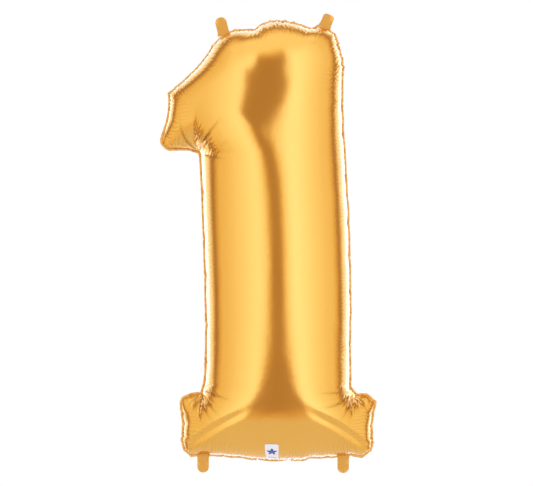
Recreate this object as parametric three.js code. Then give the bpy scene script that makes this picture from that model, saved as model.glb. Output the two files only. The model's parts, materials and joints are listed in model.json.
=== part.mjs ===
// Foil number balloon in the shape of a 1, inflated and held up by its two top tabs.
// Millimetres, +Z up, the printed front faces -Y. The origin is midway between the top tabs.
import * as THREE from 'three';

// ---- Flat pattern of one film, along the inner edge of its weld (x right, z up) ----
const STEM_HALF = 213; // half width of the stem where it meets the base
const SHOULDER_X = 185; // outer side of the stem where the top right corner starts
const SHOULDER_Z = 842;
const SIDE_CAMBER = 18; // outward bow of the long side
const BASE_HALF = 213; // half width along the bottom edge
const BASE_SAG = 27; // downward bow of the bottom edge
const SHELF_HALF = 245; // half width of the base under its shelf
const SHELF_Z = 130;
const NOTCH_Z = 165; // where the stem meets the shelf
const TOP_RIGHT_X = 141;
const TOP_RIGHT_Z = 944;
const TOP_LEFT_X = -119;
const TOP_LEFT_Z = 958;
const TOP_CAMBER = 15; // upward bow of the top edge
const FLAG_TOP_X = -262; // where the slanting edge of the flag ends
const FLAG_TOP_Z = 811;
const FLAG_TIP_X = -296; // lower corner of the flag
const FLAG_TIP_Z = 694;
const FLAG_NOTCH_X = -236; // where the flag's underside meets the stem
const FLAG_NOTCH_Z = 646;
const R_BASE = 52;
const R_SHELF = 20;
const R_NOTCH = 12;
const R_SHOULDER = 80;
const R_TOP_RIGHT = 72;
const R_TOP_LEFT = 120;
const R_FLAG_TOP = 34;
const R_FLAG_TIP = 12;

// ---- Thicknesses and gaps. The walls stand in for film of about 0.05 mm. ----
const WALL = 0.5;
const GAP = 0.3; // clearance between any two sub-parts
const SEAM_WIDTH = 4; // weld outside the pattern
const SEAM_THICK = 0.6;
const BASE_EDGE_ZONE = 60; // the rim this near the lowest point is the base's lower edge
const FACES_UP = 0.3; // a rim normal steeper than this faces up, or down when negative
const OUT_OF_REACH = 1e4; // added to a distance to rule a rim point out

// ---- Inflation: the film bends and gathers freely, and doesn't stretch ----
const MESH_STEP = 22;
const STEPS = 450;
const SWEEPS = 16; // length passes in each step
const PRESSURE_START = 0.135; // outward move at each step, as a share of the mesh step
const PRESSURE_DROP = 0.02; // last pressure over the first
const DAMPING = 0.9;
const SMOOTH = 0.001;
const START_SLOPE = 0.3; // first shape: a low tent, this steep at the rim
const RIM_CLEAR = 0.6; // no inner point nearer the rim than this share of the mesh step
const LATTICE_JITTER = 0.01; // lattice points shift by this share, so that no four tie

// ---- Tabs: root on the seam at x, aimed this many degrees from upright or from plumb ----
const TAB_WIDTH = 23;
const TAB_THICK = 0.8;
const TAB_ROOT_GAP = 0.6;
const TAB_SPLIT_Z = 400; // top tabs root above this height and bottom tabs below it
const TABS = [
  { name: 'tab_top_left', x: -107, side: 1, length: 33, aim: -14, round: 11 },
  { name: 'tab_top_right', x: 92, side: 1, length: 24, aim: 23, round: 7 },
  { name: 'tab_bottom_left', x: -150, side: -1, length: 31, aim: 0, round: 11 },
  { name: 'tab_bottom_right', x: 130, side: -1, length: 31, aim: 0, round: 11 },
];
const HANG_UP = 12; // the hanging points are this far from the top tabs' free ends

// ---- Neck, folded back under the base; it turns about the root line along X ----
const NECK_X = -8;
const NECK_ROOT_HALF = 32;
const NECK_HALF = 18;
const NECK_FLARE = 16; // length over which the root narrows
const NECK_LENGTH = 62;
const NECK_FILM = 0.5;
const NECK_SEAL = 5; // width of each welded side
const NECK_SEAL_THICK = 1.2;
const NECK_DROP = 3.2; // root line below the bottom weld
const NECK_START = 1.6; // the films start this far from the root line
const NECK_FOLD = 4; // degrees below level at rest

// ---- Self-closing valve: two thin films welded into the neck, loose inside ----
const VALVE_HALF = 14;
const VALVE_EDGE = 2; // the tail stays this far inside the neck's welds
const BARRIER_INSET = 3; // the print stops this far from the valve's edges
const BARRIER_START = 6; // and starts this far along it
const VALVE_ROOT_BEND = 0.25; // share of the lean that the valve already has at its root
const VALVE_FILM = 0.3;
const VALVE_INSIDE = 105; // length inside the balloon
const VALVE_LEAN = 34; // degrees it leans back as it lies inside
const VALVE_BASE = 4; // starts this far above the bottom weld
const BARRIER_LENGTH = 40; // printed strip that keeps the valve from being welded shut
const LINER_LENGTH = 44; // the valve's tail inside the neck

// ---- Printed emblem on the front, in pattern coordinates ----
const EMBLEM_X = -12;
const EMBLEM_WIDTH = 29;
const EMBLEM_LOW = 44; // above the bottom weld, along the film
const EMBLEM_HEIGHT = 50;
const EMBLEM_THICK = 0.3;
const EMBLEM_CELLS = 6;

const rad = THREE.MathUtils.degToRad;

// ---- Materials ----
const finish = (color, roughness, metalness) =>
  new THREE.MeshStandardMaterial({ color, roughness, metalness });
const GOLD = finish(0xe2b04a, 0.35, 1);
const GOLD_WELD = finish(0xc8963a, 0.45, 1);
const VALVE_CLEAR = finish(0xd9d9d4, 0.4, 0);
const BARRIER_INK = finish(0x7a7f86, 0.6, 0);
const PRINT = finish(0xf4f4f2, 0.5, 0);

// ---- Flat outline, counter-clockwise from the base's lower left corner ----
function cornersOfPattern() {
  return [
    { x: -BASE_HALF, z: 0, r: R_BASE, camber: BASE_SAG },
    { x: BASE_HALF, z: 0, r: R_BASE },
    { x: SHELF_HALF, z: SHELF_Z, r: R_SHELF },
    { x: STEM_HALF, z: NOTCH_Z, r: R_NOTCH, camber: SIDE_CAMBER },
    { x: SHOULDER_X, z: SHOULDER_Z, r: R_SHOULDER },
    { x: TOP_RIGHT_X, z: TOP_RIGHT_Z, r: R_TOP_RIGHT, camber: TOP_CAMBER },
    { x: TOP_LEFT_X, z: TOP_LEFT_Z, r: R_TOP_LEFT },
    { x: FLAG_TOP_X, z: FLAG_TOP_Z, r: R_FLAG_TOP },
    { x: FLAG_TIP_X, z: FLAG_TIP_Z, r: R_FLAG_TIP },
    { x: FLAG_NOTCH_X, z: FLAG_NOTCH_Z, r: R_NOTCH },
    { x: -STEM_HALF, z: NOTCH_Z, r: R_NOTCH },
    { x: -SHELF_HALF, z: SHELF_Z, r: R_SHELF },
  ];
}

const vec = (x, y) => new THREE.Vector2(x, y);

// The rounding arc of one corner: its centre, radius, start and end points.
function cornerArc(before, at, after) {
  const p = vec(at.x, at.z);
  const u = vec(before.x, before.z).sub(p).normalize();
  const v = vec(after.x, after.z).sub(p).normalize();
  const half = Math.acos(u.dot(v)) / 2;
  const reach = at.r / Math.tan(half);
  const centre = u.clone().add(v).setLength(at.r / Math.sin(half)).add(p);
  const start = u.multiplyScalar(reach).add(p);
  const end = v.multiplyScalar(reach).add(p);
  return { centre, start, end, r: at.r };
}

function patternOutline() {
  const corners = cornersOfPattern();
  const n = corners.length;
  const arcs = corners.map((c, i) => cornerArc(corners[(i + n - 1) % n], c, corners[(i + 1) % n]));
  const points = [];
  const arcSteps = 8;
  const edgeSteps = 12;
  arcs.forEach((arc, i) => {
    const from = arc.start.clone().sub(arc.centre).angle();
    let turn = arc.end.clone().sub(arc.centre).angle() - from;
    if (turn > Math.PI) turn -= 2 * Math.PI;
    if (turn < -Math.PI) turn += 2 * Math.PI;
    for (let k = 0; k <= arcSteps; k++) {
      const a = from + (turn * k) / arcSteps;
      points.push(vec(Math.cos(a), Math.sin(a)).multiplyScalar(arc.r).add(arc.centre));
    }
    const camber = corners[i].camber;
    if (!camber) return;
    const next = arcs[(i + 1) % n].start;
    const along = next.clone().sub(arc.end);
    const out = vec(along.y, -along.x).normalize();
    for (let k = 1; k < edgeSteps; k++) {
      const t = k / edgeSteps;
      const bow = 4 * camber * t * (1 - t);
      points.push(arc.end.clone().addScaledVector(along, t).addScaledVector(out, bow));
    }
  });
  return points;
}

// Points spaced evenly round a closed outline.
function evenly(outline, step) {
  const n = outline.length;
  const at = [0];
  for (let i = 0; i < n; i++) at.push(at[i] + outline[i].distanceTo(outline[(i + 1) % n]));
  const count = Math.round(at[n] / step);
  const points = [];
  let j = 0;
  for (let i = 0; i < count; i++) {
    const want = (at[n] * i) / count;
    while (at[j + 1] < want) j++;
    const t = (want - at[j]) / (at[j + 1] - at[j]);
    points.push(outline[j].clone().lerp(outline[(j + 1) % n], t));
  }
  return points;
}

function isInside(p, rim) {
  let inside = false;
  for (let i = 0, j = rim.length - 1; i < rim.length; j = i++) {
    const a = rim[i];
    const b = rim[j];
    if (a.y > p.y !== b.y > p.y && p.x < ((b.x - a.x) * (p.y - a.y)) / (b.y - a.y) + a.x) {
      inside = !inside;
    }
  }
  return inside;
}

function edgeDistance(p, rim) {
  let best = Infinity;
  for (let i = 0; i < rim.length; i++) {
    const a = rim[i];
    const ab = rim[(i + 1) % rim.length].clone().sub(a);
    const t = THREE.MathUtils.clamp(p.clone().sub(a).dot(ab) / ab.lengthSq(), 0, 1);
    best = Math.min(best, p.distanceTo(a.clone().addScaledVector(ab, t)));
  }
  return best;
}

// The rim's points first, then a triangular lattice inside, shifted a little to avoid ties.
function patternPoints() {
  const rim = evenly(patternOutline(), MESH_STEP);
  const box = new THREE.Box2().setFromPoints(rim);
  const points = [...rim];
  const shift = MESH_STEP * LATTICE_JITTER;
  const noise = (a, b) => (Math.abs(Math.sin(a * 12.9 + b * 78.2)) * 43758.5) % 1;
  const rowStep = (MESH_STEP * Math.sqrt(3)) / 2;
  for (let z = box.min.y, row = 0; z < box.max.y; z += rowStep, row++) {
    for (let x = box.min.x + (row % 2) * (MESH_STEP / 2); x < box.max.x; x += MESH_STEP) {
      const p = vec(x + shift * noise(x, z), z + shift * noise(z, x));
      if (isInside(p, rim) && edgeDistance(p, rim) > RIM_CLEAR * MESH_STEP) points.push(p);
    }
  }
  return { points, rimCount: rim.length, rim };
}

// Delaunay triangles of the points by insertion, kept where they lie inside the outline.
function triangulate(points, rim) {
  const n = points.length;
  const far = 1e5;
  const all = [...points, vec(-far, -far), vec(far, -far), vec(0, far)];
  const make = (a, b, c) => {
    const [A, B, C] = [all[a], all[b], all[c]];
    const d = 2 * (A.x * (B.y - C.y) + B.x * (C.y - A.y) + C.x * (A.y - B.y));
    const [qa, qb, qc] = [A.lengthSq(), B.lengthSq(), C.lengthSq()];
    const x = (qa * (B.y - C.y) + qb * (C.y - A.y) + qc * (A.y - B.y)) / d;
    const y = (qa * (C.x - B.x) + qb * (A.x - C.x) + qc * (B.x - A.x)) / d;
    return { corners: [a, b, c], x, y, r2: (A.x - x) ** 2 + (A.y - y) ** 2 };
  };
  let found = [make(n, n + 1, n + 2)];
  for (let i = 0; i < n; i++) {
    const p = all[i];
    const open = new Map();
    const keep = [];
    for (const t of found) {
      if ((t.x - p.x) ** 2 + (t.y - p.y) ** 2 >= t.r2) {
        keep.push(t);
        continue;
      }
      for (let k = 0; k < 3; k++) {
        const a = t.corners[k];
        const b = t.corners[(k + 1) % 3];
        const key = edgeKey(a, b);
        open.set(key, open.has(key) ? null : [a, b]);
      }
    }
    for (const edge of open.values()) if (edge) keep.push(make(edge[0], edge[1], i));
    found = keep;
  }
  const centre = ([a, b, c]) => points[a].clone().add(points[b]).add(points[c]).divideScalar(3);
  const turned = ([a, b, c]) => {
    const ab = points[b].clone().sub(points[a]);
    return ab.cross(points[c].clone().sub(points[a])) > 0 ? [a, b, c] : [a, c, b];
  };
  return found
    .map((t) => t.corners)
    .filter((t) => Math.max(...t) < n && isInside(centre(t), rim))
    .map(turned);
}

function edgeKey(a, b) {
  return a < b ? `${a},${b}` : `${b},${a}`;
}

function edgesOf(triangles, points) {
  const edges = new Map();
  for (const t of triangles) {
    for (let k = 0; k < 3; k++) {
      const a = t[k];
      const b = t[(k + 1) % 3];
      edges.set(edgeKey(a, b), { a, b, length: points[a].distanceTo(points[b]) });
    }
  }
  return [...edges.values()];
}

// Blows the front film up: pressure outwards, no edge longer than it was flat, the rim
// held in the mid-plane. Returns the film's points, y negative towards the front.
function inflate(points, triangles, rimCount, rim) {
  const edges = edgesOf(triangles, points);
  const p = points.map((q, i) => {
    return new THREE.Vector3(q.x, i < rimCount ? 0 : -START_SLOPE * edgeDistance(q, rim), q.y);
  });
  const last = p.map((q) => q.clone());
  const near = points.map(() => []);
  for (const { a, b } of edges) {
    near[a].push(b);
    near[b].push(a);
  }
  for (let i = 0; i < rimCount; i++) near[i] = [(i + 1) % rimCount, (i + rimCount - 1) % rimCount];
  const share = 1 / (MESH_STEP * MESH_STEP * 3 * Math.sqrt(3));
  const u = new THREE.Vector3();
  const v = new THREE.Vector3();
  for (let step = 0; step < STEPS; step++) {
    const press = MESH_STEP * PRESSURE_START * PRESSURE_DROP ** (step / STEPS) * share;
    p.forEach((q, i) => {
      u.copy(q).sub(last[i]).multiplyScalar(DAMPING);
      last[i].copy(q);
      q.add(u);
    });
    for (const [a, b, c] of triangles) {
      u.copy(last[b]).sub(last[a]);
      v.copy(last[c]).sub(last[a]);
      u.cross(v).multiplyScalar(press);
      p[a].add(u);
      p[b].add(u);
      p[c].add(u);
    }
    for (let sweep = 0; sweep < SWEEPS; sweep++) {
      for (let e = 0; e < edges.length; e++) {
        const edge = edges[sweep % 2 ? edges.length - 1 - e : e];
        u.copy(p[edge.b]).sub(p[edge.a]);
        const length = u.length();
        if (length <= edge.length) continue;
        u.multiplyScalar((0.5 * (length - edge.length)) / length);
        p[edge.a].add(u);
        p[edge.b].sub(u);
      }
      p.forEach((q, i) => {
        q.y = i < rimCount ? 0 : Math.min(q.y, -GAP);
      });
    }
    const old = p.map((q) => q.clone());
    p.forEach((q, i) => {
      u.set(0, 0, 0);
      for (const k of near[i]) u.add(old[k]);
      u.divideScalar(near[i].length).sub(old[i]);
      q.addScaledVector(u, SMOOTH);
      if (i < rimCount) q.y = 0;
    });
  }
  return p;
}

function normalsOf(p, triangles) {
  const normals = p.map(() => new THREE.Vector3());
  for (const [a, b, c] of triangles) {
    const n = p[b].clone().sub(p[a]).cross(p[c].clone().sub(p[a]));
    for (const k of [a, b, c]) normals[k].add(n);
  }
  return normals.map((n) => n.normalize());
}

// ---- Solids from points and faces ----
function solid(name, points, faces, material) {
  const geometry = new THREE.BufferGeometry();
  geometry.setAttribute(
    'position',
    new THREE.Float32BufferAttribute(points.flatMap((p) => [p.x, p.y, p.z]), 3),
  );
  geometry.setIndex(faces.flat());
  geometry.computeVertexNormals();
  const mesh = new THREE.Mesh(geometry, material);
  mesh.name = name;
  return mesh;
}

const flipped = (faces) => faces.map(([a, b, c]) => [a, c, b]);

// A closed sheet from a grid of outer points and the same grid of inner points.
// outer[row][column], with the outside seen counter-clockwise as rows then columns rise.
function gridSolid(name, outer, inner, material) {
  const rows = outer.length;
  const columns = outer[0].length;
  const end = columns - 1;
  const points = [...outer.flat(), ...inner.flat()];
  const at = (r, c, layer) => layer * rows * columns + r * columns + c;
  const faces = [];
  const quad = (a, b, c, d) => faces.push([a, b, c], [a, c, d]);
  for (let r = 0; r + 1 < rows; r++) {
    for (let c = 0; c + 1 < columns; c++) {
      quad(at(r, c, 0), at(r, c + 1, 0), at(r + 1, c + 1, 0), at(r + 1, c, 0));
      quad(at(r, c, 1), at(r + 1, c, 1), at(r + 1, c + 1, 1), at(r, c + 1, 1));
    }
    quad(at(r, 0, 1), at(r, 0, 0), at(r + 1, 0, 0), at(r + 1, 0, 1));
    quad(at(r, end, 0), at(r, end, 1), at(r + 1, end, 1), at(r + 1, end, 0));
  }
  for (let c = 0; c + 1 < columns; c++) {
    quad(at(0, c, 1), at(0, c + 1, 1), at(0, c + 1, 0), at(0, c, 0));
    quad(at(rows - 1, c, 0), at(rows - 1, c + 1, 0), at(rows - 1, c + 1, 1), at(rows - 1, c, 1));
  }
  return solid(name, points, faces, material);
}

// ---- Film panels ----
function panels(film) {
  const { p, normals, triangles, rimCount } = film;
  const outer = p.map((q, i) => (i < rimCount ? new THREE.Vector3(q.x, -GAP / 2, q.z) : q.clone()));
  const inner = p.map((q, i) => {
    if (i >= rimCount) return q.clone().addScaledVector(normals[i], -WALL);
    const out = film.rimOut[i];
    return new THREE.Vector3(q.x - out.x * WALL, -GAP / 2, q.z - out.y * WALL);
  });
  const n = p.length;
  const faces = [...triangles, ...flipped(triangles).map((t) => t.map((k) => k + n))];
  for (let i = 0; i < rimCount; i++) {
    const j = (i + 1) % rimCount;
    faces.push([i, i + n, j + n], [i, j + n, j]);
  }
  const points = [...outer, ...inner];
  const mirrored = points.map((q) => new THREE.Vector3(q.x, -q.y, q.z));
  return [
    solid('front_panel', points, faces, GOLD),
    solid('rear_panel', mirrored, flipped(faces), GOLD),
  ];
}

// Outward normals of the inflated rim in the mid-plane.
function rimNormals(p, rimCount) {
  const normals = [];
  for (let i = 0; i < rimCount; i++) {
    const a = p[(i + rimCount - 1) % rimCount];
    const b = p[(i + 1) % rimCount];
    normals.push(vec(b.z - a.z, -(b.x - a.x)).normalize());
  }
  return normals;
}

// ---- Welded seam: one band round the rim, open where the neck passes ----
function seam(film) {
  const { p, rimCount, rimOut } = film;
  const order = [];
  for (let k = 0; k < rimCount; k++) order.push((film.neckIndex + k) % rimCount);
  const line = order.map((i) => ({ x: p[i].x, z: p[i].z, out: rimOut[i] }));
  const clear = NECK_ROOT_HALF + 1;
  const isClear = (q) => Math.abs(q.x - NECK_X) > clear || q.z > film.bottom + BASE_EDGE_ZONE;
  const kept = line.filter(isClear);
  const before = line[line.indexOf(kept[0]) - 1] ?? line[line.length - 1];
  const after = line[(line.indexOf(kept.at(-1)) + 1) % line.length];
  const cut = (inside, outside) => {
    const side = Math.sign(outside.x - NECK_X);
    const t = (NECK_X + side * clear - inside.x) / (outside.x - inside.x);
    const out = inside.out.clone().lerp(outside.out, t).normalize();
    const z = THREE.MathUtils.lerp(inside.z, outside.z, t);
    return { x: NECK_X + side * clear, z, out };
  };
  const path = [cut(before, kept[0]), ...kept, cut(after, kept.at(-1))];
  const row = (from, y) =>
    path.map((q) => new THREE.Vector3(q.x + q.out.x * from, y, q.z + q.out.y * from));
  const half = SEAM_THICK / 2;
  const outer = [row(GAP, -half), row(GAP + SEAM_WIDTH, -half)];
  const inner = [row(GAP, half), row(GAP + SEAM_WIDTH, half)];
  return gridSolid('heat_seal_seam', inner, outer, GOLD_WELD);
}

// ---- Tabs ----
// The seam's outermost line under a tab: its root point and outward direction.
function tabRoot(film, tab) {
  const { p, rimCount, rimOut } = film;
  let best = 0;
  const isThere = (i) =>
    (p[i].z - TAB_SPLIT_Z) * tab.side > 0 && rimOut[i].y * tab.side > FACES_UP;
  const off = (i) => Math.abs(p[i].x - tab.x) + (isThere(i) ? 0 : OUT_OF_REACH);
  for (let i = 1; i < rimCount; i++) if (off(i) < off(best)) best = i;
  const i0 = (best + rimCount - 1) % rimCount;
  const i1 = (best + 1) % rimCount;
  const along = vec(p[i1].x - p[i0].x, p[i1].z - p[i0].z).normalize();
  const out = vec(along.y, -along.x);
  const centre = vec(p[best].x, p[best].z);
  centre.addScaledVector(along, (tab.x - centre.x) / along.x);
  let reach = -Infinity;
  for (let k = -2; k <= 2; k++) {
    const i = (best + k + rimCount) % rimCount;
    const q = vec(p[i].x, p[i].z).addScaledVector(rimOut[i], GAP + SEAM_WIDTH).sub(centre);
    if (Math.abs(q.dot(along)) < TAB_WIDTH) reach = Math.max(reach, q.dot(out));
  }
  const aim = rad(tab.aim);
  const toward = vec(Math.sin(aim), tab.side * Math.cos(aim));
  return { root: centre.addScaledVector(out, reach), along, out, toward };
}

// A strip along `toward` whose root edge follows the fold line.
function tabSolid(tab, { root, along, out, toward }) {
  const half = TAB_WIDTH / 2;
  const across = vec(toward.y, -toward.x);
  const slope = -across.dot(out) / toward.dot(out);
  const start = (u) => TAB_ROOT_GAP / toward.dot(out) + u * slope;
  const top = tab.length;
  const r = tab.round;
  const shape = new THREE.Shape();
  shape.moveTo(-half, start(-half));
  shape.lineTo(half, start(half));
  shape.lineTo(half, top - r);
  shape.quadraticCurveTo(half, top, half - r, top);
  shape.lineTo(-half + r, top);
  shape.quadraticCurveTo(-half, top, -half, top - r);
  const geometry = new THREE.ExtrudeGeometry(shape, {
    depth: TAB_THICK,
    bevelEnabled: false,
    curveSegments: 6,
  });
  const basis = new THREE.Matrix4().makeBasis(
    new THREE.Vector3(across.x, 0, across.y),
    new THREE.Vector3(toward.x, 0, toward.y),
    new THREE.Vector3(0, -1, 0),
  );
  basis.setPosition(root.x, TAB_THICK / 2, root.y);
  geometry.applyMatrix4(basis);
  const mesh = new THREE.Mesh(geometry, GOLD);
  mesh.name = tab.name;
  return mesh;
}

// ---- Neck and valve ----
// Half width of the neck at a distance v from its root line.
function neckHalf(v) {
  const t = THREE.MathUtils.clamp(v / NECK_FLARE, 0, 1);
  return THREE.MathUtils.lerp(NECK_ROOT_HALF, NECK_HALF, Math.sin((t * Math.PI) / 2));
}

// A strip in the folded neck: v along it, u across it, w out of its plane.
function neckStrip(name, film, uLow, uHigh, wLow, wHigh, vLow, vHigh, material) {
  const stations = [];
  const rows = 14;
  for (let k = 0; k <= rows; k++) stations.push(THREE.MathUtils.lerp(vLow, vHigh, k / rows));
  const a = rad(NECK_FOLD);
  const at = (u, v, w) =>
    new THREE.Vector3(
      NECK_X + u,
      v * Math.cos(a) + w * Math.sin(a),
      film.bottom - NECK_DROP - v * Math.sin(a) + w * Math.cos(a),
    );
  const outer = stations.map((v) => [at(uLow(v), v, wHigh), at(uHigh(v), v, wHigh)]);
  const inner = stations.map((v) => [at(uLow(v), v, wLow), at(uHigh(v), v, wLow)]);
  return gridSolid(name, outer, inner, material);
}

function neck(film) {
  const group = new THREE.Group();
  group.name = 'neck';
  const inset = (v) => neckHalf(v) - NECK_SEAL - GAP;
  const low = (v) => -inset(v);
  const linerGap = VALVE_FILM + GAP;
  const filmTop = linerGap + NECK_FILM;
  const end = NECK_LENGTH;
  const sealHalf = NECK_SEAL_THICK / 2;
  const tailHalf = NECK_HALF - NECK_SEAL - VALVE_EDGE;
  group.add(
    neckStrip('neck_rear_film', film, low, inset, linerGap, filmTop, NECK_START, end, GOLD),
    neckStrip('neck_front_film', film, low, inset, -filmTop, -linerGap, NECK_START, end, GOLD),
    neckStrip(
      'neck_seal_left', film, (v) => -neckHalf(v), (v) => -neckHalf(v) + NECK_SEAL,
      -sealHalf, sealHalf, NECK_START, end, GOLD_WELD,
    ),
    neckStrip(
      'neck_seal_right', film, (v) => neckHalf(v) - NECK_SEAL, neckHalf,
      -sealHalf, sealHalf, NECK_START, end, GOLD_WELD,
    ),
    neckStrip(
      'valve_tail', film, () => -tailHalf, () => tailHalf,
      -VALVE_FILM, VALVE_FILM, NECK_START, LINER_LENGTH, VALVE_CLEAR,
    ),
  );
  return group;
}

// A film inside the balloon, standing on the bottom weld and leaning back.
function valveStrip(name, film, half, from, to, wLow, wHigh, material) {
  const rows = 10;
  const place = (u, v, w) => {
    const a = rad(VALVE_LEAN) * Math.min(1, v / VALVE_INSIDE + VALVE_ROOT_BEND);
    return new THREE.Vector3(
      NECK_X + u,
      v * Math.sin(a) - w * Math.cos(a),
      film.bottom + VALVE_BASE + v * Math.cos(a) + w * Math.sin(a),
    );
  };
  const grid = (w) => {
    const out = [];
    for (let k = 0; k <= rows; k++) {
      const v = THREE.MathUtils.lerp(from, to, k / rows);
      out.push([place(-half, v, w), place(half, v, w)]);
    }
    return out;
  };
  return gridSolid(name, grid(wHigh), grid(wLow), material);
}

function valve(film) {
  const group = new THREE.Group();
  group.name = 'valve';
  const gap = GAP / 2;
  const back = gap + VALVE_FILM;
  group.add(
    valveStrip('valve_front_film', film, VALVE_HALF, 0, VALVE_INSIDE, gap, back, VALVE_CLEAR),
    valveStrip('valve_rear_film', film, VALVE_HALF, 0, VALVE_INSIDE, -back, -gap, VALVE_CLEAR),
    valveStrip(
      'valve_barrier_print', film, VALVE_HALF - BARRIER_INSET,
      BARRIER_START, BARRIER_START + BARRIER_LENGTH,
      back + GAP, back + GAP + VALVE_FILM, BARRIER_INK,
    ),
  );
  return group;
}

// ---- Printed emblem, laid on the film where the pattern carries it ----
function onFilm(film, x, z) {
  const q = vec(x, z);
  for (const [a, b, c] of film.triangles) {
    const [A, B, C] = [film.points[a], film.points[b], film.points[c]];
    const area = B.clone().sub(A).cross(C.clone().sub(A));
    const wa = B.clone().sub(q).cross(C.clone().sub(q)) / area;
    const wb = C.clone().sub(q).cross(A.clone().sub(q)) / area;
    const wc = 1 - wa - wb;
    if (Math.min(wa, wb, wc) < -1e-9) continue;
    const mix = (list) =>
      new THREE.Vector3()
        .addScaledVector(list[a], wa)
        .addScaledVector(list[b], wb)
        .addScaledVector(list[c], wc);
    return { p: mix(film.p), n: mix(film.normals).normalize() };
  }
  throw new Error('the emblem leaves the film');
}

function emblem(film) {
  const rows = [];
  const low = film.patternLow + EMBLEM_LOW;
  for (let r = 0; r <= EMBLEM_CELLS; r++) {
    const row = [];
    for (let c = 0; c <= EMBLEM_CELLS; c++) {
      const x = EMBLEM_X + EMBLEM_WIDTH * (c / EMBLEM_CELLS - 0.5);
      row.push(onFilm(film, x, low + (EMBLEM_HEIGHT * r) / EMBLEM_CELLS));
    }
    rows.push(row);
  }
  const layer = (off) => rows.map((row) => row.map((q) => q.p.clone().addScaledVector(q.n, off)));
  return gridSolid('printed_emblem', layer(2 * GAP + EMBLEM_THICK), layer(2 * GAP), PRINT);
}

// ---- The inflated film and what the other pieces take from it ----
function makeFilm() {
  const { points, rimCount, rim } = patternPoints();
  const triangles = triangulate(points, rim);
  const p = inflate(points, triangles, rimCount, rim);
  const film = { points, triangles, rimCount, p };
  film.normals = normalsOf(p, triangles);
  film.rimOut = rimNormals(p, rimCount);
  let low = 0;
  const fromNeck = (i) =>
    Math.abs(p[i].x - NECK_X) + (film.rimOut[i].y < -FACES_UP ? 0 : OUT_OF_REACH);
  for (let i = 1; i < rimCount; i++) if (fromNeck(i) < fromNeck(low)) low = i;
  film.neckIndex = low;
  film.bottom = p[low].z;
  film.patternLow = points[low].y;
  return film;
}

const hangingPoint = ({ root, toward }, tab) =>
  root.clone().addScaledVector(toward, tab.length - HANG_UP);

function build() {
  const film = makeFilm();
  const group = new THREE.Group();
  group.name = 'foil_number_balloon';
  group.add(...panels(film), seam(film), emblem(film), neck(film), valve(film));
  const places = TABS.map((tab) => tabRoot(film, tab));
  TABS.forEach((tab, i) => group.add(tabSolid(tab, places[i])));
  const left = hangingPoint(places[0], TABS[0]);
  const right = hangingPoint(places[1], TABS[1]);
  const origin = left.add(right).divideScalar(2);
  group.traverse((o) => {
    if (o.isMesh) o.geometry.translate(-origin.x, 0, -origin.y);
  });
  return group;
}

export default build();
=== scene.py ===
import json
import math

import bmesh
import bpy
import numpy as np
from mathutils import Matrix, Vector
from mathutils.bvhtree import BVHTree
from mathutils.geometry import delaunay_2d_cdt
from mathutils.interpolate import poly_3d_calc


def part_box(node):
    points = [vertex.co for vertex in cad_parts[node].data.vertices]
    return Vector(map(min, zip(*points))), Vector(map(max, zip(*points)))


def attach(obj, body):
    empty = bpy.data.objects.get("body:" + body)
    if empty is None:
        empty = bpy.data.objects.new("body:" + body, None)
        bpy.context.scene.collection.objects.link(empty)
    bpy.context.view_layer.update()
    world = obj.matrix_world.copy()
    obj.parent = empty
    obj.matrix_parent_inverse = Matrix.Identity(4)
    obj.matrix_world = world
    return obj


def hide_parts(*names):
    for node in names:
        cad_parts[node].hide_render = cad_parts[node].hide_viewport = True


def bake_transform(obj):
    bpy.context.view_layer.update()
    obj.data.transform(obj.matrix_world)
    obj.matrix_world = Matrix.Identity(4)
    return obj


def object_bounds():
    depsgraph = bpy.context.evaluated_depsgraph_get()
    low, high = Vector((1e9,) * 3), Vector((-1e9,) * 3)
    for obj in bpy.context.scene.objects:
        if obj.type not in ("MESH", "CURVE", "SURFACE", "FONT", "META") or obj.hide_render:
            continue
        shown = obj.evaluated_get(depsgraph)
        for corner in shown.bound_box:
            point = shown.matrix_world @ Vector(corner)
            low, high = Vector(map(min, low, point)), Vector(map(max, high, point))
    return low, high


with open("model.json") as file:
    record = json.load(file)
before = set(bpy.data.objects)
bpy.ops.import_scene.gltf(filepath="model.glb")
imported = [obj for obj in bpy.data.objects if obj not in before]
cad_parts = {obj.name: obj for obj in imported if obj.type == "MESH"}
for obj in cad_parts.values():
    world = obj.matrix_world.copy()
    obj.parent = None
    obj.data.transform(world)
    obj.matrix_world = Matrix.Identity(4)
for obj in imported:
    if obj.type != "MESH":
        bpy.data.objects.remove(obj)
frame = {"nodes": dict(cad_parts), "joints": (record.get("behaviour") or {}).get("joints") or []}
cad_low, cad_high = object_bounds()
nodes = frame["nodes"]
MM = 0.001

# ---------------------------------------------------------------------------------------
# The film. Two sheets of metallised film, cut to one pattern and welded round the rim.
# The pattern is blown up here: the film bends and gathers as it likes, and never stretches.
# Pattern corners: x, z, rounding radius, outward bow of the edge that follows, in mm.
# ---------------------------------------------------------------------------------------
STEM_HALF, NOTCH_Z = 213, 165
BASE_HALF, SHELF_HALF, SHELF_Z = 213, 245, 130
CORNERS = [
    (-BASE_HALF, 0, 52, 27),
    (BASE_HALF, 0, 52, 0),
    (SHELF_HALF, SHELF_Z, 20, 0),
    (STEM_HALF, NOTCH_Z, 12, 18),
    (185, 842, 80, 0),
    (141, 944, 72, 15),
    (-119, 958, 120, 0),
    (-262, 811, 34, 0),
    (-296, 694, 12, 0),
    (-236, 646, 12, 0),
    (-STEM_HALF, NOTCH_Z, 12, 0),
    (-SHELF_HALF, SHELF_Z, 20, 0),
]
COARSE = 22.0  # edge length of the first mesh; each later one halves it
SEED = 11
rng = np.random.default_rng(SEED)


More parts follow.
